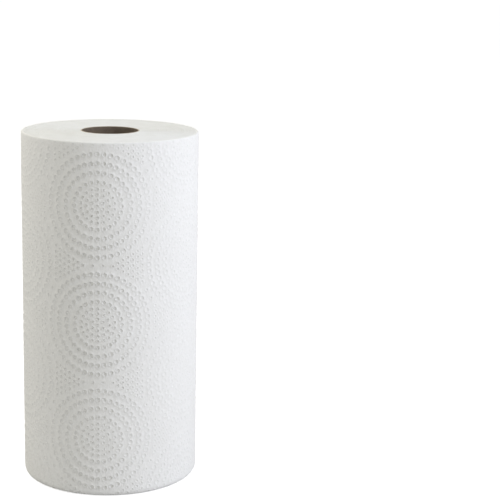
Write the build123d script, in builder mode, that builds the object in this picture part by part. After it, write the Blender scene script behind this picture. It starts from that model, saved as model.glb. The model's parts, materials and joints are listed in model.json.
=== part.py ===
from build123d import *
import math
import os

# A roll of paper towel standing on end: a long web of two-ply paper wound on a cardboard tube.
# Millimetres, +Z up. The tube's axis is the Z axis, and the roll stands on Z = 0.

# Driving dimensions of the sheet
sheet_width = 279.4
sheet_length = 111.8
web_thickness = 0.5

# Driving dimensions of the roll, whose diameter is taken across the tail edge
roll_diameter = 139.7
upper_rim_bevel = 1.2
lower_rim_radius = 4.8

# Driving dimensions of the tube
bore_diameter = 44.4
tube_wall = 0.9

# The turns on the end faces. A real turn is as thick as the web, too fine to draw one by one,
# so each pass of the spiral groove closes a band of a dozen turns.
turns_per_band = 12
groove_width = 1.0
groove_depth = 0.5
land_beside_rim = 1.0

# The cut lines between the sheets
perforation_width = 0.5
perforation_depth = 0.2

bore_radius = bore_diameter / 2
tube_radius = bore_radius + tube_wall
band_pitch = turns_per_band * web_thickness

# The outline is a spiral drawn as two half circles that meet without a corner on -Y. The first half
# turns about the tube's axis on the -X side. The last half has its centre half a web further out on +Y,
# lies on the +X side, and ends at the loose tail edge on +Y, one web thickness proud.
first_half_radius = (roll_diameter - web_thickness) / 2
tail_centre = web_thickness / 2
last_half_radius = first_half_radius + tail_centre
half_turn = 180


def section_plane(centre_y):
    """The upright plane in which a half turn's section is drawn, with +Y to its right."""
    return Plane(origin=(0, centre_y, 0), x_dir=(0, 1, 0), z_dir=(1, 0, 0))


def winding_axis(centre_y):
    """The upright line that a half turn bends around."""
    return Axis((0, centre_y, 0), (0, 0, 1))


def half_roll(centre_y, radius, arc):
    """Half of the wound web, with its crisp upper rim and its round, softened lower one."""
    foot = radius - lower_rim_radius
    shoulder = radius - upper_rim_bevel
    bevel_foot = sheet_width - upper_rim_bevel
    with BuildSketch(section_plane(centre_y)) as section:
        with BuildLine():
            Line((0, 0), (foot, 0))
            RadiusArc((foot, 0), (radius, lower_rim_radius), -lower_rim_radius)
            Polyline((radius, lower_rim_radius), (radius, bevel_foot), (shoulder, sheet_width))
            Polyline((shoulder, sheet_width), (0, sheet_width), (0, 0))
        make_face()
    revolve(section.sketch, axis=winding_axis(centre_y), revolution_arc=arc)


def groove_radii(rim_width):
    """The radii of the passes that fit between the tube and a rim of this width."""
    innermost = tube_radius + band_pitch
    outermost = first_half_radius - rim_width - land_beside_rim - band_pitch / 2
    passes = int((outermost - innermost) / band_pitch) + 1
    return [innermost + turn * band_pitch for turn in range(passes)]


def groove_half_turns(centre_y, radii, face_z, inward, arc):
    """Half turns of the V groove between two bands, cut into the end face at this height."""
    with BuildSketch(section_plane(centre_y)) as notches:
        for radius in radii:
            with BuildLine():
                Polyline(
                    (radius - groove_width / 2, face_z),
                    (radius, face_z + inward * groove_depth),
                    (radius + groove_width / 2, face_z),
                    close=True,
                )
            make_face()
    revolve(notches.sketch, axis=winding_axis(centre_y), revolution_arc=arc, mode=Mode.SUBTRACT)


def spiral_groove(rim_width, face_z, inward):
    """One groove that runs out from the tube as a spiral, half a turn at a time."""
    radii = groove_radii(rim_width)
    half_pitch = band_pitch / 2
    groove_half_turns(0, radii, face_z, inward, half_turn)
    groove_half_turns(half_pitch, [radius + half_pitch for radius in radii], face_z, inward, -half_turn)


def place_on_last_turn(length_from_tail):
    """The place on the last turn this far round from the tail edge, facing out of the roll."""
    last_half_length = math.pi * last_half_radius
    if length_from_tail < last_half_length:
        centre_y, radius = tail_centre, last_half_radius
        turned = length_from_tail / last_half_radius
    else:
        centre_y, radius = 0, first_half_radius
        turned = math.pi + (length_from_tail - last_half_length) / first_half_radius
    place = (radius * math.sin(turned), centre_y + radius * math.cos(turned))
    return Location(place, -math.degrees(turned))


# The cardboard tube, as long as the sheet is wide
with BuildPart() as core_tube:
    with BuildSketch(Plane.XY):
        Circle(tube_radius)
        Circle(bore_radius, mode=Mode.SUBTRACT)
    extrude(amount=sheet_width)

# The wound web, one solid, tight on the tube, with its cut lines counted back from the tail edge
with BuildPart() as paper_roll:
    half_roll(0, first_half_radius, half_turn)
    half_roll(tail_centre, last_half_radius, -half_turn)
    with Locations((0, 0, sheet_width)):
        Hole(tube_radius)
    spiral_groove(upper_rim_bevel, sheet_width, -1)
    spiral_groove(lower_rim_radius, 0, 1)
    last_turn_length = math.pi * (first_half_radius + last_half_radius)
    whole_sheets = int(last_turn_length / sheet_length)
    with BuildSketch(Plane.XY):
        with Locations(*[place_on_last_turn(sheet * sheet_length) for sheet in range(1, whole_sheets + 1)]):
            Rectangle(perforation_width, 2 * perforation_depth)
    extrude(amount=sheet_width, mode=Mode.SUBTRACT)

core_tube.part.label = "core_tube"
paper_roll.part.label = "paper_roll"

os.makedirs("parts", exist_ok=True)
export_step(core_tube.part, "parts/core_tube.step")
export_step(paper_roll.part, "parts/paper_roll.step")
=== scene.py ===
import json
import math

import bpy
import numpy as np
from mathutils import Matrix, Vector
from mathutils.geometry import delaunay_2d_cdt
from mathutils.kdtree import KDTree


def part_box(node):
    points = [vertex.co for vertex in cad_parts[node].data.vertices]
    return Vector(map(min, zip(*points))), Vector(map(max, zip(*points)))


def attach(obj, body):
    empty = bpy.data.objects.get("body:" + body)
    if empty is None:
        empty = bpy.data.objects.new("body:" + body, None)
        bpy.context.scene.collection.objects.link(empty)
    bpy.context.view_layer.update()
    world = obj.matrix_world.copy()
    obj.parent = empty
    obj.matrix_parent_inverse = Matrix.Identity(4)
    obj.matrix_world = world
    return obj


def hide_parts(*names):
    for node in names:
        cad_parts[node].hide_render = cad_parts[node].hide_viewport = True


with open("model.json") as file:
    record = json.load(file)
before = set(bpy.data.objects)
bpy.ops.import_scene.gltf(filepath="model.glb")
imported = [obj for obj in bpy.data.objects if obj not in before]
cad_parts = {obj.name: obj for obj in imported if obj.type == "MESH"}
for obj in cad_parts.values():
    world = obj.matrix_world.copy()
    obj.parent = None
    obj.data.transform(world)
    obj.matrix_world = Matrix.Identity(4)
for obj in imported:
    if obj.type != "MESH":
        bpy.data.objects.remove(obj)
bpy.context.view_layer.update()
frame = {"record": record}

# A roll of embossed paper towel standing on end. Metres, +Z up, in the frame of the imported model.

MM = 0.001

# A hair's breadth, for points that only have to lie near or just clear, and a gap that counts as none
hair = 0.1 * MM
touching = 0.001 * MM

# Each kind of unevenness has a random pattern of its own
SEED = 11
pattern_seeds = {
    "winding": 1, "creases": 2, "tail_edge": 3, "end_swell": 4, "turn_streaks": 5,
    "tube_wall": 6, "tail_flap": 7, "turn_heights": 8, "pressure": 306,
}

# Sizes of the roll, read from the frame. On +Y its tail edge stands one web thickness proud.
roll_low, roll_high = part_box("paper_roll")
roll_height = roll_high.z
web_thickness = roll_high.y + roll_low.y
first_half_radius = -roll_low.y
last_half_radius = first_half_radius + web_thickness / 2
last_half_length = math.pi * last_half_radius
last_turn_length = last_half_length + math.pi * first_half_radius

# The paperboard tube, the joint of its inner ply, and its sawn edge as share of the wall and inset
tube_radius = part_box("core_tube")[1].y
core_bore = next(mount for mount in frame["record"]["mounts"] if mount["name"] == "core_bore")
bore_radius = core_bore["dims"]["r_mm"] * MM
tube_sides = 74
bore_rows = 188
ply_turns = 3
ply_gap = 0.45 * MM
ply_gap_depth = 0.25 * MM
ply_gap_slope = 0.2
tube_wall_swell = 0.03 * MM
tube_wall_patch = 6 * MM
sawn_edge = (
    (0, 0.22 * MM), (0.12, 0.05 * MM), (0.32, 0), (0.44, 0.03 * MM), (0.5, 0.15 * MM),
    (0.56, 0.03 * MM), (0.68, 0), (0.88, 0.05 * MM), (1, 0.22 * MM),
)

# The log saw leaves the upper rim crisp. The lower rim is rounded by handling and standing.
upper_rim = 1.3 * MM
lower_rim = 4.8 * MM
rim_overlap = 0.2 * MM
tuck_width = 1.0 * MM
tuck_drop = 0.4 * MM
upper_arc = upper_rim * math.pi / 2
lower_arc = lower_rim * math.pi / 2
wall_height = roll_height - lower_rim - upper_rim
skin_rise = lower_arc + wall_height + upper_arc

# Wound paper isn't quite even: it has soft swells, with finer creases among them
swell_height = 0.1 * MM
swell_width = 34 * MM
crease_height = 0.04 * MM
crease_width = 7 * MM

# The sheets of the last turn, and the slits and bonds of the cut lines between them
sheet_length = 111.8 * MM
sheet_count = math.ceil(last_turn_length / sheet_length)
last_sheet_overlap = 10 * MM
slit_pitch = 4.2 * MM
bond_length = 1.0 * MM
slit_places = (1.2 * MM, 1.9 * MM, 2.6 * MM, 3.3 * MM, 3.9 * MM)
slit_depth = 0.04 * MM
slit_half_width = 0.2 * MM
edge_margin = 0.55 * MM

# Steps between mesh points where there are no dots, along the paper and up it
outline_step = 1.5 * MM
corner_clearance = 0.3 * MM
rim_clearance = 1.0 * MM
wall_steps = (2.6 * MM, 2.25 * MM)
lower_rim_steps = (2.0 * MM, 0.9 * MM)
upper_rim_steps = (1.6 * MM, upper_arc / 4)

# The sheets are meshed flat, in mm: faces inside the outline only, and closer points than this are one
faces_inside = 1
same_point = 1e-4

# The tail edge is torn at its bonds. It is glued a little way back, so the edge itself stands free.
torn_tab = 0.35 * MM
shortest_tab = 0.3
tail_waver = 0.12 * MM
tail_waver_length = 9 * MM
tail_flap = 9 * MM
tail_lift = 0.8 * MM
tail_lift_mean = 0.6
tail_lift_change = 0.4
tail_lift_patch = 41 * MM
paper_thickness = 0.5 * MM
ply_split_top = 0.17 * MM
ply_split_width = 0.13 * MM
ply_split_depth = 0.14 * MM

# The embossing is a common one: circles of dots in half-drop columns on a ground of fine dots
circle_pitch = 92 * MM
column_pitch = circle_pitch * math.cos(math.radians(30))
first_circle_along = 229 * MM
first_circle_height = 139 * MM
columns_each_way = 4
rows_each_way = 3
outer_ring = 39.5 * MM
coarse_ring_step = 7.1 * MM
coarse_rings = 4
coarse_spacing = 4.9 * MM
fine_outer_ring = 12.9 * MM
fine_ring_step = 4.1 * MM
fine_rings = 3
fine_spacing = 4.0 * MM
ring_multiple = 6
ground_per_circle = 21
ground_inner_reach = 45.3 * MM
dots_past_turn = 6 * MM
lowest_dot = 3 * MM
highest_dot = skin_rise - 1.2 * MM

# A dot is a flat-bottomed dent with a steep wall and a raised brim. Its radius is taken three quarters
# up the wall, and the middle, floor and brim are shares of that radius.
dot_radius = {"coarse": 1.6 * MM, "medium": 1.4 * MM, "fine": 0.95 * MM}
dot_depth = {"coarse": 0.46 * MM, "medium": 0.42 * MM, "fine": 0.36 * MM}
dot_middle_share = 0.55
dot_floor_share = 0.74
dot_brim_share = 1.12
dot_brim_height = 0.2 * MM
dot_shoulder = 0.34 * MM

# Rings of mesh points round the middle of a dot: the share of its radius, the width beyond, the points
dot_rings = (
    (dot_middle_share, 0, 7), (dot_floor_share, 0, 10),
    (dot_brim_share, 0, 12), (dot_brim_share, dot_shoulder, 12),
)

# The dots fade towards the upper rim, where the sawn edge of the paper has relaxed
faint_below_rim = 12 * MM
faintest_share = 0.35

# The embossing rolls press unevenly, so the dots are deeper in some patches than in others
press_patch = 58 * MM
press_mean = 0.95
press_change = 0.4

# One turn on a cut end: shares of its thickness, each with its share of the depth of the gap
end_steps = 168
turn_profile = ((0, 0), (0.55, 0.15), (0.8, 1))
turn_gap_depth = 0.12 * MM
end_sink = 0.16 * MM
end_swell_height = 0.1 * MM
end_swell_width = 13 * MM
turn_streak_height = 0.1 * MM
turn_streak = 1.3 * MM
turn_height_change = 0.06 * MM
turn_height_length = 0.4

# The turns close up into bands of a dozen, with a shallow gap between bands
band_pitch = 12 * web_thickness
band_count = 7.5
band_gap_depth = 0.3 * MM
band_gap_half_width = 0.5 * MM


def srgb(code):
    """The linear colour of an sRGB hex value such as "F1F1EE"."""
    parts = [int(code[i:i + 2], 16) / 255 for i in (0, 2, 4)]
    return tuple(c / 12.92 if c <= 0.04045 else ((c + 0.055) / 1.055) ** 2.4 for c in parts) + (1.0,)


def add_node(tree, kind, settings=None, links=None, ramp=()):
    """Adds a node with its settings. A link is a plain value or another node's output, a ramp its stops."""
    made = tree.nodes.new(kind)
    for name, value in (settings or {}).items():
        setattr(made, name, value)
    for name, value in (links or {}).items():
        if isinstance(value, bpy.types.NodeSocket):
            tree.links.new(value, made.inputs[name])
        else:
            made.inputs[name].default_value = value
    for stop, (position, colour) in enumerate(ramp):
        made.color_ramp.elements[stop].position = position
        made.color_ramp.elements[stop].color = srgb(colour)
    return made


# Shaping

def soft_noise(across, up, cell, pattern):
    """Smooth random heights from -1 to 1, with bumps about one cell across."""
    size = 97
    grid = np.random.default_rng(SEED + pattern_seeds[pattern]).uniform(-1, 1, (size, size))
    a, b = np.asarray(across) / cell, np.asarray(up) / cell
    i, j = np.floor(a).astype(int), np.floor(b).astype(int)
    p, q = a - i, b - j
    p, q = p * p * (3 - 2 * p), q * q * (3 - 2 * q)
    near, far = grid[i % size, j % size], grid[(i + 1) % size, j % size]
    near_up, far_up = grid[i % size, (j + 1) % size], grid[(i + 1) % size, (j + 1) % size]
    return (near * (1 - p) + far * p) * (1 - q) + (near_up * (1 - p) + far_up * p) * q


def turned_angle(along):
    """The angle round the roll at a length from the tail edge, by way of +X."""
    past_half = math.pi + (along - last_half_length) / first_half_radius
    return np.where(along < last_half_length, along / last_half_radius, past_half)


def half_turn(turned):
    """The centre on Y and the radius of the half turn that an angle round the roll lies on."""
    on_last_half = turned < math.pi
    centre = np.where(on_last_half, web_thickness / 2, 0)
    return centre, np.where(on_last_half, last_half_radius, first_half_radius)


def skin_points(along, rise, out):
    """Places points on the outside of the roll, by length round it, rise up its side and height off it.

    Rise follows the skin: up the lower rim, the wall and the upper rim. Past either end the paper tucks
    in behind the wound end. A brim never pushes a rim below the floor or above the upper face.
    """
    low = np.clip(rise / lower_arc, 0, 1) * math.pi / 2
    high = np.clip((rise - lower_arc - wall_height) / upper_arc, 0, 1) * math.pi / 2
    under = np.maximum(-rise, 0)
    over = np.maximum(rise - skin_rise, 0)
    inset = lower_rim * (1 - np.sin(low)) + upper_rim * (1 - np.cos(high)) + under + over
    straight = np.clip(rise - lower_arc, 0, wall_height)
    height = lower_rim * (1 - np.cos(low)) + straight + upper_rim * np.sin(high)
    height = height + (under - over) * tuck_drop / tuck_width
    upward = np.where(rise < lower_arc, -np.cos(low), np.sin(high))
    turned = turned_angle(along)
    centre, radius = half_turn(turned)
    reach = radius - inset + out * np.sin(low) * np.cos(high)
    height = height + np.minimum(out, 0) * upward
    return np.column_stack((reach * np.sin(turned), centre + reach * np.cos(turned), height))


def mesh_piece(name, points, faces, finish, node):
    """Makes a smooth piece that stands for a CAD node and rides on the roll."""
    mesh = bpy.data.meshes.new(name)
    mesh.from_pydata(np.asarray(points).tolist(), [], faces)
    mesh.validate()
    mesh.shade_smooth()
    mesh.materials.append(finish)
    piece = bpy.data.objects.new(name, mesh)
    bpy.context.scene.collection.objects.link(piece)
    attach(piece, "root")
    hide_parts(node)
    return piece


# The pattern of the embossing rolls, as length round the last turn and height up the sheet

def circle_centres():
    """Half-drop columns of circles that cover the last turn and a little more."""
    centres = []
    for column in range(-columns_each_way, columns_each_way + 1):
        drop = circle_pitch / 2 if column % 2 else 0
        for row in range(-rows_each_way, rows_each_way + 1):
            along = first_circle_along + column * column_pitch
            centres.append((along, first_circle_height + row * circle_pitch + drop))
    return centres


def dots_of_circle(along, height):
    """Rings of coarse dots, then of finer ones, round a dot in the middle. Each ring repeats six times."""
    sizes = ["coarse"] * (coarse_rings - 1) + ["medium"]
    rings = [(outer_ring - i * coarse_ring_step, coarse_spacing, size) for i, size in enumerate(sizes)]
    rings += [(fine_outer_ring - i * fine_ring_step, fine_spacing, "fine") for i in range(fine_rings)]
    dots = [(along, height, "fine")]
    for radius, spacing, size in rings:
        count = ring_multiple * max(1, round(2 * math.pi * radius / (ring_multiple * spacing)))
        for turn in np.arange(count) * 2 * math.pi / count:
            dots.append((along + radius * math.sin(turn), height + radius * math.cos(turn), size))
    return dots


def ground_dots(circles):
    """The even ground of fine dots that fills the room between the circles."""
    dots = []
    for column in range(-columns_each_way * ground_per_circle, columns_each_way * ground_per_circle + 1):
        along = first_circle_along + column * column_pitch / ground_per_circle
        for row in range(-rows_each_way * ground_per_circle, rows_each_way * ground_per_circle + 1):
            height = first_circle_height + (row + column % 2 / 2) * circle_pitch / ground_per_circle
            if circles.find((along, height, 0))[2] > ground_inner_reach:
                dots.append((along, height, "fine"))
    return dots


def search_tree(places):
    """A search tree of flat points."""
    tree = KDTree(len(places))
    for index, place in enumerate(places):
        tree.insert((place[0], place[1], 0), index)
    tree.balance()
    return tree


def embossed_dots():
    """Every dot on the last turn, as rows of length, rise, radius and depth."""
    centres = circle_centres()
    dots = [dot for centre in centres for dot in dots_of_circle(*centre)]
    dots += ground_dots(search_tree(centres))
    lift = lower_arc - lower_rim
    rows = np.array([(dot[0], dot[1] + lift, dot_radius[dot[2]], dot_depth[dot[2]]) for dot in dots])
    kept = np.abs(rows[:, 0] - last_turn_length / 2) < last_turn_length / 2 + dots_past_turn
    kept &= (rows[:, 1] > lowest_dot) & (rows[:, 1] < highest_dot)
    rows = rows[kept]
    strength = faintest_share + (1 - faintest_share) * (skin_rise - rows[:, 1]) / faint_below_rim
    rows[:, 3] *= np.minimum(strength, 1)
    rows[:, 3] *= press_mean + press_change * soft_noise(rows[:, 0], rows[:, 1], press_patch, "pressure")
    return rows


# The sheets of the last turn

class Embossing:
    """The dots of the last turn, with a search for the one nearest a point."""

    def __init__(self):
        self.dots = embossed_dots()
        self.tree = search_tree(self.dots)

    def nearest(self, along, rise):
        """The nearest dot of each point, and the distance to its middle."""
        found = [self.tree.find((a, r, 0)) for a, r in zip(along, rise)]
        return self.dots[[hit[1] for hit in found]], np.array([hit[2] for hit in found])


def relief(along, rise, embossing):
    """How far the paper stands off the even roll: dots, cut lines and the soft unevenness of winding."""
    dots, distance = embossing.nearest(along, rise)
    wall = (distance / dots[:, 2] - dot_floor_share) / (dot_brim_share - dot_floor_share)
    wall = np.clip(wall, 0, 1)
    brim = np.clip(1 - np.abs(distance - dots[:, 2] * dot_brim_share) / dot_shoulder, 0, 1)
    strength = dots[:, 3] / dot_depth["coarse"]
    dent = dots[:, 3] * (1 - wall * wall * (3 - 2 * wall)) - dot_brim_height * strength * brim
    from_line = np.abs((along + sheet_length / 2) % sheet_length - sheet_length / 2)
    beside_slit = (along > sheet_length / 2) & (rise % slit_pitch > bond_length)
    slit = np.where(beside_slit, slit_depth * np.clip(1 - from_line / slit_half_width, 0, 1), 0)
    swells = swell_height * soft_noise(along, rise, swell_width, "winding")
    creases = crease_height * soft_noise(along, rise, crease_width, "creases")
    return swells + creases + flap_lift(along, rise) - dent - slit


def flap_lift(along, rise):
    """How far the free flap of the tail stands off, more in some places than in others."""
    free = np.clip(1 - along / tail_flap, 0, 1) ** 2
    unevenness = tail_lift_change * soft_noise(rise, 0 * rise, tail_lift_patch, "tail_flap")
    return tail_lift * free * (tail_lift_mean + unevenness)


def edge_rises():
    """Rises of the points on a cut line, with one at each end of every bond."""
    steps = np.array((0, bond_length / 2, bond_length) + slit_places)
    pitches = np.arange(-1, math.ceil(skin_rise / slit_pitch) + 1) * slit_pitch
    rises = (pitches[:, None] + steps).ravel()
    lowest, highest = -tuck_width, skin_rise + tuck_width
    inside = rises[(rises > lowest + corner_clearance) & (rises < highest - corner_clearance)]
    return np.concatenate(([lowest], inside, [highest]))


def torn_edge(rises):
    """Lengths along the tail edge, which wavers a little and has a torn tab at each bond."""
    tabs = np.random.default_rng(SEED).uniform(shortest_tab, 1, len(rises)) * torn_tab
    mid_bond = np.abs(rises % slit_pitch - bond_length / 2) < hair
    waver = tail_waver * soft_noise(rises, 0 * rises, tail_waver_length, "tail_edge")
    return np.where(mid_bond, -tabs, 0) + waver


def sheet_outline(start, end, rises):
    """The outline of a sheet: down its start edge, then anticlockwise round the rest."""
    lengths = np.linspace(start, end, round((end - start) / outline_step) + 1)[1:-1]
    start_edge = torn_edge(rises) if start == 0 else np.full(len(rises), start)
    near = np.column_stack((start_edge, rises))[::-1]
    bottom = np.column_stack((lengths, np.full(len(lengths), rises[0])))
    far = np.column_stack((np.full(len(rises), end), rises))
    top = np.column_stack((lengths[::-1], np.full(len(lengths), rises[-1])))
    return np.vstack((near, bottom, far, top))


def dot_points(dots):
    """The middle of each dot, and rings round it: on its floor, at its foot, at its brim and outside."""
    points = [dots[:, :2]]
    for share, beyond, count in dot_rings:
        turns = np.arange(count) * 2 * math.pi / count
        ring = np.column_stack((np.cos(turns), np.sin(turns)))
        reach = dots[:, 2][:, None, None] * share + beyond
        points.append((dots[:, None, :2] + reach * ring[None]).reshape(-1, 2))
    return np.vstack(points)


def staggered_points(start, end, low, high, steps):
    """A staggered grid of points, with a row on the lowest and the highest rise."""
    step_along, step_up = steps
    rises = np.linspace(low, high, round((high - low) / step_up) + 1)
    lengths = np.arange(start, end, step_along)
    shifts = np.arange(len(rises)) % 2 * step_along / 2
    along = (lengths[None] + shifts[:, None]).ravel()
    return np.column_stack((along, np.repeat(rises, len(lengths))))


def sheet_points(start, end, rises, embossing):
    """All points inside a sheet's outline: its dots, its cut lines, and an even spread over the rest."""
    beside_lines = (start + slit_half_width, end - slit_half_width)
    shoulders = [(side, rise) for side in beside_lines for rise in rises[1:-1]]
    wall_low = lower_arc + rim_clearance
    wall_high = skin_rise - upper_arc - rim_clearance
    plain = np.vstack((
        staggered_points(start, end, wall_low, wall_high, wall_steps),
        staggered_points(start, end, 0, lower_arc, lower_rim_steps),
        staggered_points(start, end, skin_rise - upper_arc, skin_rise, upper_rim_steps),
    ))
    dots, distance = embossing.nearest(plain[:, 0], plain[:, 1])
    plain = plain[distance > dots[:, 2] * dot_brim_share + 2 * dot_shoulder]
    inner = np.vstack((dot_points(embossing.dots), plain))
    inside = (inner[:, 0] > start + edge_margin) & (inner[:, 0] < end - edge_margin)
    inside &= (inner[:, 1] > -hair) & (inner[:, 1] < skin_rise + hair)
    return np.vstack((inner[inside], shoulders))


def tail_edge_faces(points, faces, edge, along, rise, out):
    """Adds the thickness of the paper along the tail edge, split between two plies, and its underside."""
    ply_split_foot = ply_split_top + ply_split_width
    profile = (
        (ply_split_top, 0), (ply_split_top + ply_split_width / 2, ply_split_depth), (ply_split_foot, 0),
        (paper_thickness, 0), (paper_thickness, tail_flap / 2), (paper_thickness + hair, tail_flap),
    )
    rows = [list(edge)]
    for depth, inset in profile:
        rows.append(list(range(len(points), len(points) + len(edge))))
        surface = out - flap_lift(along, rise) + flap_lift(along + inset, rise)
        points = np.vstack((points, skin_points(along + inset, rise, surface - depth)))
    for upper, lower in zip(rows, rows[1:]):
        for i in range(len(edge) - 1):
            faces.append((upper[i], upper[i + 1], lower[i + 1], lower[i]))
    return points


def outer_sheet(number, embossing, finish):
    """One sheet of the last turn, from cut line to cut line, in a mesh that follows every dot."""
    start = (number - 1) * sheet_length
    end = min(start + sheet_length, last_turn_length + last_sheet_overlap)
    rises = edge_rises()
    outline = sheet_outline(start, end, rises)
    flat = np.vstack((outline, sheet_points(start, end, rises, embossing))) / MM
    flat = [Vector(place) for place in flat]
    loop = [(i, (i + 1) % len(outline)) for i in range(len(outline))]
    laid, _, faces, origins, _, _ = delaunay_2d_cdt(flat, loop, [], faces_inside, same_point)
    laid = np.array(laid) * MM
    out = relief(laid[:, 0], laid[:, 1], embossing)
    points = skin_points(laid[:, 0], laid[:, 1], out)
    faces = [tuple(reversed(face)) for face in faces]
    if number == 1:
        kept = {origin: index for index, group in enumerate(origins) for origin in group}
        edge = [kept[i] for i in range(len(rises))]
        points = tail_edge_faces(points, faces, edge, laid[edge, 0], laid[edge, 1], out[edge])
    return mesh_piece(f"outer_sheet_{number}", points, faces, finish, "paper_roll")


# The ends of the roll

def band_gap(x, y):
    """Depth of the gap between bands of turns, which runs out from the tube as a spiral of half turns."""
    half_pitch = band_pitch / 2
    centre = np.where(x > 0, half_pitch, 0)
    radius = np.hypot(x, y - centre) - centre
    from_tube = radius - tube_radius
    from_gap = np.abs((from_tube + half_pitch) % band_pitch - half_pitch)
    ridge = np.clip(1 - from_gap / band_gap_half_width, 0, 1)
    within = (from_tube > half_pitch) & (from_tube < band_count * band_pitch)
    return np.where(within, band_gap_depth * ridge, 0)


def end_unevenness(x, y, turned, turns_in):
    """The soft swells of a cut end, fine streaks along its turns, and turns that stand a little proud."""
    wound = np.hypot(x, y)
    either_way = np.abs(turned - math.pi) * turn_streak
    strip = (turns_in + turned / (2 * math.pi)) / turn_height_length
    swells = end_swell_height * soft_noise(x, y, end_swell_width, "end_swell")
    streaks = turn_streak_height * soft_noise(wound, either_way, turn_streak, "turn_streaks")
    return swells + streaks + turn_height_change * soft_noise(strip, 0 * strip, 1, "turn_heights")


def wound_end(name, face_height, outward, rim_width, finish):
    """The cut edges of all the turns at one end, as one spiral with a fine gap between turns."""
    turn_count = math.ceil((last_half_radius - rim_width - tube_radius) / web_thickness) + 1
    index = np.arange(turn_count * end_steps)
    turns_in = index // end_steps
    turned = index % end_steps * 2 * math.pi / end_steps
    centre, radius = half_turn(turned)
    points = []
    for share, depth in turn_profile:
        reach = radius - rim_width - (turns_in + share) * web_thickness
        x, y = reach * np.sin(turned), centre + reach * np.cos(turned)
        onto_tube = np.maximum(1, tube_radius / np.hypot(x, y))
        x, y = x * onto_tube, y * onto_tube
        waves = end_unevenness(x, y, turned, turns_in)
        sunk = depth * turn_gap_depth + band_gap(x, y) + end_sink + waves
        points.append(np.column_stack((x, y, face_height - outward * sunk)))
    crest, shoulder, gap = (index + row * len(index) for row in range(3))
    points = np.vstack(points)
    on_tube = np.hypot(points[:, 0], points[:, 1]) < tube_radius + touching
    faces = []
    for first, second in ((crest, shoulder), (shoulder, gap), (gap[:-end_steps], crest[end_steps:])):
        for i in range(len(first) - 1):
            face = (first[i], first[i + 1], second[i + 1], second[i])
            if not on_tube[list(face)].all():
                faces.append(face[::-1] if outward > 0 else face)
    return mesh_piece(name, points, faces, finish, "paper_roll")


# The tube

def tube_section():
    """The section of the tube wall as a closed loop of radius and height, with soft cut edges."""
    wall = tube_radius - bore_radius
    foot = [(bore_radius + share * wall, inset) for share, inset in sawn_edge]
    head = [(radius, roll_height - height) for radius, height in foot]
    rises = np.linspace(foot[0][1], head[0][1], bore_rows)[1:-1]
    bore = [(bore_radius, rise) for rise in rises]
    return bore, head, foot


def paperboard_tube(board, sawn_board):
    """A tube of two paperboard plies wound on a helix, with the joint of the inner ply in its bore."""
    bore, head, foot = tube_section()
    section = [foot[0]] + bore + head + foot[:0:-1]
    gap_turn = ply_gap / bore_radius
    joint = [0, gap_turn * ply_gap_slope, gap_turn * (1 - ply_gap_slope), gap_turn]
    angles = np.concatenate((joint, np.linspace(gap_turn, 2 * math.pi, tube_sides)[1:-1]))
    in_joint = np.zeros(len(angles))
    in_joint[1:3] = 1
    points = []
    for row, (radius, height) in enumerate(section):
        turned = angles + 2 * math.pi * ply_turns * height / roll_height
        level = height + 0 * turned
        swell = soft_noise(turned * radius, level, tube_wall_patch, "tube_wall")
        in_bore = 0 < row <= len(bore)
        reach = radius + (ply_gap_depth * in_joint + tube_wall_swell * swell if in_bore else 0)
        points.append(np.column_stack((reach * np.cos(turned), reach * np.sin(turned), level)))
    count, rows = len(angles), len(section)
    faces = []
    for row in range(rows):
        here, above = row * count, (row + 1) % rows * count
        for i in range(count):
            step = (i + 1) % count
            faces.append((here + i, above + i, above + step, here + step))
    core = mesh_piece("core", np.vstack(points), faces, board, "core_tube")
    core.data.materials.append(sawn_board)
    for face in core.data.polygons[(len(bore) + 1) * count:]:
        face.material_index = 1
    return core


# The finishes. Pattern sizes are in millimetres, so a noise scale is 1000 over the size.

def new_finish(name):
    """A material with an empty node tree, and the object's own coordinates in it."""
    finish = bpy.data.materials.new(name)
    finish.use_nodes = True
    tree = finish.node_tree
    tree.nodes.clear()
    place = add_node(tree, "ShaderNodeTexCoord")
    return finish, tree, place.outputs["Object"]


def embossed_tissue():
    """Two-ply creped tissue: dead matt and white, with cloudy fibres and fine crepe folds up the sheet."""
    finish, tree, place = new_finish("embossed_tissue")
    # Real crepe folds are 0.3 mm apart and would not show, so they are drawn at 1.2 mm
    cloud_size, crepe_width, crepe_length = 2.2, 1.2, 2.6
    clouds = add_node(tree, "ShaderNodeTexNoise", links={
        "Vector": place, "Scale": 1000 / cloud_size, "Detail": 3.0, "Roughness": 0.6,
    })
    tint = add_node(tree, "ShaderNodeValToRGB", links={"Fac": clouds.outputs["Fac"]},
                    ramp=((0.3, "EDEDEA"), (0.7, "F3F3F1")))
    stretched = add_node(tree, "ShaderNodeMapping", links={
        "Vector": place, "Scale": (1000 / crepe_width, 1000 / crepe_width, 1000 / crepe_length),
    })
    folds = add_node(tree, "ShaderNodeTexNoise", links={
        "Vector": stretched.outputs["Vector"], "Scale": 1.0, "Detail": 2.0, "Roughness": 0.5,
    })
    bump = add_node(tree, "ShaderNodeBump", links={
        "Height": folds.outputs["Fac"], "Strength": 0.9, "Distance": 0.22 * MM,
    })
    shader = add_node(tree, "ShaderNodeBsdfPrincipled", links={
        "Base Color": tint.outputs["Color"], "Normal": bump.outputs["Normal"],
        "Roughness": 0.95, "Specular IOR Level": 0.2,
    })
    add_node(tree, "ShaderNodeOutputMaterial", links={"Surface": shader.outputs["BSDF"]})
    return finish


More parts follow.
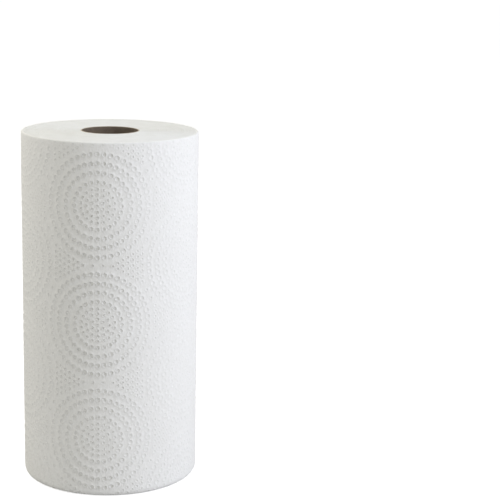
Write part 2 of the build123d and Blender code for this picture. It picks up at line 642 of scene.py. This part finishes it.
def cut_tissue():
    """The sawn edges of the turns: the same tissue, painted a shade deeper as painted shade for light lost
    between its fibres and turns, and fuzzy with cut fibres.
    """
    finish, tree, place = new_finish("cut_tissue")
    # Single fibres are far too thin to show, so the fuzz is drawn in tufts of 0.8 mm
    fuzz_size, patch_size = 0.8, 9
    patches = add_node(tree, "ShaderNodeTexNoise", links={
        "Vector": place, "Scale": 1000 / patch_size, "Detail": 2.0,
    })
    # These tones are a shade deeper than the sheet's: painted shade for light lost between the fibres and
    # turns
    tint = add_node(tree, "ShaderNodeValToRGB", links={"Fac": patches.outputs["Fac"]},
                    ramp=((0.3, "E8E9E6"), (0.7, "ECEDEB")))
    fuzz = add_node(tree, "ShaderNodeTexNoise", links={
        "Vector": place, "Scale": 1000 / fuzz_size, "Detail": 4.0, "Roughness": 0.7,
    })
    bump = add_node(tree, "ShaderNodeBump", links={
        "Height": fuzz.outputs["Fac"], "Strength": 0.6, "Distance": 0.12 * MM,
    })
    shader = add_node(tree, "ShaderNodeBsdfPrincipled", links={
        "Base Color": tint.outputs["Color"], "Normal": bump.outputs["Normal"],
        "Roughness": 1.0, "Specular IOR Level": 0.1,
    })
    add_node(tree, "ShaderNodeOutputMaterial", links={"Surface": shader.outputs["BSDF"]})
    return finish


def recycled_paperboard():
    """Grey-brown board of recycled fibre: matt, mottled, with fine dark flecks of old print. Its browns are
    painted darker than real board, as painted shade for the dim bore.
    """
    finish, tree, place = new_finish("recycled_paperboard")
    # Real fibres are 0.03 mm wide and would not show, so they are drawn at 0.4 mm
    mottle_size, fleck_size, fibre_width, fibre_length = 5, 1.1, 0.4, 2.5
    mottle = add_node(tree, "ShaderNodeTexNoise", links={
        "Vector": place, "Scale": 1000 / mottle_size, "Detail": 3.0,
    })
    # These browns are painted darker than real board: painted shade for the dim inside of the tube, over
    # the board's own mottle
    tint = add_node(tree, "ShaderNodeValToRGB", links={"Fac": mottle.outputs["Fac"]},
                    ramp=((0.3, "6B6054"), (0.7, "786D5F")))
    flecks = add_node(tree, "ShaderNodeTexNoise", links={
        "Vector": place, "Scale": 1000 / fleck_size, "Detail": 1.0,
    })
    fleck_share = add_node(tree, "ShaderNodeMapRange", links={
        "Value": flecks.outputs["Fac"], "From Min": 0.64, "From Max": 0.72, "To Min": 0.0, "To Max": 0.5,
    })
    flecked = add_node(tree, "ShaderNodeMix", {"data_type": "RGBA"}, {
        "Factor": fleck_share.outputs["Result"], "A": tint.outputs["Color"], "B": srgb("4A4138"),
    })
    lengthwise = add_node(tree, "ShaderNodeMapping", links={
        "Vector": place, "Scale": (1000 / fibre_width, 1000 / fibre_width, 1000 / fibre_length),
    })
    fibres = add_node(tree, "ShaderNodeTexNoise", links={
        "Vector": lengthwise.outputs["Vector"], "Scale": 1.0, "Detail": 2.0,
    })
    bump = add_node(tree, "ShaderNodeBump", links={
        "Height": fibres.outputs["Fac"], "Strength": 0.4, "Distance": 0.05 * MM,
    })
    shader = add_node(tree, "ShaderNodeBsdfPrincipled", links={
        "Base Color": flecked.outputs["Result"], "Normal": bump.outputs["Normal"],
        "Roughness": 0.9, "Specular IOR Level": 0.25,
    })
    add_node(tree, "ShaderNodeOutputMaterial", links={"Surface": shader.outputs["BSDF"]})
    return finish


def sawn_paperboard():
    """The sawn ends of the board: torn fibres catch the light and look paler than its face."""
    finish, tree, place = new_finish("sawn_paperboard")
    # Torn fibres are drawn in tufts of 0.5 mm, because single ones would not show
    fibre_size = 0.5
    fibres = add_node(tree, "ShaderNodeTexNoise", links={
        "Vector": place, "Scale": 1000 / fibre_size, "Detail": 3.0, "Roughness": 0.7,
    })
    tint = add_node(tree, "ShaderNodeValToRGB", links={"Fac": fibres.outputs["Fac"]},
                    ramp=((0.35, "B5AA98"), (0.65, "D6CEBF")))
    bump = add_node(tree, "ShaderNodeBump", links={
        "Height": fibres.outputs["Fac"], "Strength": 0.6, "Distance": 0.08 * MM,
    })
    shader = add_node(tree, "ShaderNodeBsdfPrincipled", links={
        "Base Color": tint.outputs["Color"], "Normal": bump.outputs["Normal"],
        "Roughness": 0.95, "Specular IOR Level": 0.2,
    })
    add_node(tree, "ShaderNodeOutputMaterial", links={"Surface": shader.outputs["BSDF"]})
    return finish


# The studio

floor_size = 40
floor_colour = "D3D3D3"
floor_seen_lift = 0.75
surround_colour = "FFFEF7"
surround_light = 0.43

# Each lamp: degrees round to the right of the front, degrees up, metres from the roll, metres across,
# the share of full light that it gives there, and its colour. Two soft keys stand on the right, a low
# one and a high one, with softer light from the left and behind.
softboxes = {
    "low_key_softbox": (62, 15, 2.2, 0.7, 0.281, "F4F4FF"),
    "high_key_softbox": (65, 35, 1.1, 0.6, 0.355, "ECF1FF"),
    "left_softbox": (-60, 50, 0.8, 0.6, 0.167, "FFFDFB"),
    "rear_left_softbox": (-120, 45, 1.1, 1.0, 0.364, "FFF9ED"),
}

# The standpoint of the photograph in metres, and the camera's turns in radians
camera_place = (0, -1.199, 0.4402)
camera_yaw = -0.0935
camera_pitch = 0.2108
camera_roll = 0.0186
camera_sensor = 36
camera_lens = 109.76


def seen_rays(tree):
    """One for rays from the camera, or by way of gloss or glass, and nothing for the rest."""
    path = add_node(tree, "ShaderNodeLightPath")
    either = add_node(tree, "ShaderNodeMath", {"operation": "MAXIMUM"}, {
        0: path.outputs["Is Camera Ray"], 1: path.outputs["Is Glossy Ray"],
    })
    seen = add_node(tree, "ShaderNodeMath", {"operation": "MAXIMUM"}, {
        0: either.outputs["Value"], 1: path.outputs["Is Transmission Ray"],
    })
    return seen.outputs["Value"]


def studio_floor():
    """A wide pale floor that is seen as white paper and still takes the roll's soft shadow."""
    paper = bpy.data.materials.new("backdrop_paper")
    paper.use_nodes = True
    tree = paper.node_tree
    tree.nodes.clear()
    matt = add_node(tree, "ShaderNodeBsdfDiffuse", links={"Color": srgb(floor_colour)})
    lift = add_node(tree, "ShaderNodeMath", {"operation": "MULTIPLY"}, {
        0: seen_rays(tree), 1: floor_seen_lift,
    })
    glow = add_node(tree, "ShaderNodeEmission", links={"Strength": lift.outputs["Value"]})
    both = add_node(tree, "ShaderNodeAddShader", links={
        0: matt.outputs["BSDF"], 1: glow.outputs["Emission"],
    })
    add_node(tree, "ShaderNodeOutputMaterial", links={"Surface": both.outputs["Shader"]})
    half = floor_size / 2
    corners = [(-half, -half, 0), (half, -half, 0), (half, half, 0), (-half, half, 0)]
    mesh = bpy.data.meshes.new("studio_floor")
    mesh.from_pydata(corners, [], [(0, 1, 2, 3)])
    mesh.materials.append(paper)
    floor = bpy.data.objects.new("studio_floor", mesh)
    bpy.context.scene.collection.objects.link(floor)


def studio_surround():
    """Even grey light from all round, seen as white where the camera looks past the floor."""
    world = bpy.data.worlds.new("studio_surround")
    world.use_nodes = True
    tree = world.node_tree
    tree.nodes.clear()
    light = add_node(tree, "ShaderNodeBackground", links={
        "Color": srgb(surround_colour), "Strength": surround_light,
    })
    white = add_node(tree, "ShaderNodeBackground", links={"Color": srgb("FFFFFF"), "Strength": 1.0})
    either = add_node(tree, "ShaderNodeMixShader", links={
        "Fac": seen_rays(tree), 1: light.outputs["Background"], 2: white.outputs["Background"],
    })
    add_node(tree, "ShaderNodeOutputWorld", links={"Surface": either.outputs["Shader"]})
    bpy.context.scene.world = world


def softbox(name, round_right, up, distance, size, share, colour):
    """A square lamp aimed at the roll's middle. Its share is the part of full light that it gives there."""
    aim = Vector((0, 0, roll_height / 2))
    turn, tilt = math.radians(round_right), math.radians(up)
    toward = Vector((math.sin(turn) * math.cos(tilt), -math.cos(turn) * math.cos(tilt), math.sin(tilt)))
    lamp = bpy.data.lights.new(name, "AREA")
    lamp.shape = "SQUARE"
    lamp.size = size
    lamp.energy = share * math.pi ** 2 * distance ** 2
    lamp.color = srgb(colour)[:3]
    box = bpy.data.objects.new(name, lamp)
    box.location = aim + toward * distance
    box.rotation_euler = (-toward).to_track_quat("-Z", "Y").to_euler()
    bpy.context.scene.collection.objects.link(box)


def photo_camera():
    """The camera of the photograph: its standpoint, its small turns and its field of view."""
    camera = bpy.data.cameras.new("photo_camera")
    camera.sensor_width = camera_sensor
    camera.lens = camera_lens
    level = Vector((math.cos(camera_yaw), math.sin(camera_yaw), 0))
    ahead = Vector((-math.sin(camera_yaw), math.cos(camera_yaw), 0))
    forward = ahead * math.cos(camera_pitch) - Vector((0, 0, math.sin(camera_pitch)))
    upright = ahead * math.sin(camera_pitch) + Vector((0, 0, math.cos(camera_pitch)))
    right = level * math.cos(camera_roll) + upright * math.sin(camera_roll)
    above = upright * math.cos(camera_roll) - level * math.sin(camera_roll)
    stand = bpy.data.objects.new("photo_camera", camera)
    turned = Matrix((right, above, -forward)).transposed()
    stand.matrix_world = Matrix.Translation(camera_place) @ turned.to_4x4()
    bpy.context.scene.collection.objects.link(stand)
    bpy.context.scene.camera = stand


def paper_towel_roll():
    """All pieces of the roll."""
    tissue, cut = embossed_tissue(), cut_tissue()
    embossing = Embossing()
    for number in range(1, sheet_count + 1):
        outer_sheet(number, embossing, tissue)
    wound_end("top_end", roll_height, 1, upper_rim + rim_overlap, cut)
    wound_end("bottom_end", 0, -1, lower_rim + rim_overlap, cut)
    paperboard_tube(recycled_paperboard(), sawn_paperboard())


photo_camera()
studio_floor()
studio_surround()
for lamp_name, lamp_values in softboxes.items():
    softbox(lamp_name, *lamp_values)
paper_towel_roll()
bpy.context.scene.view_settings.view_transform = "Standard"
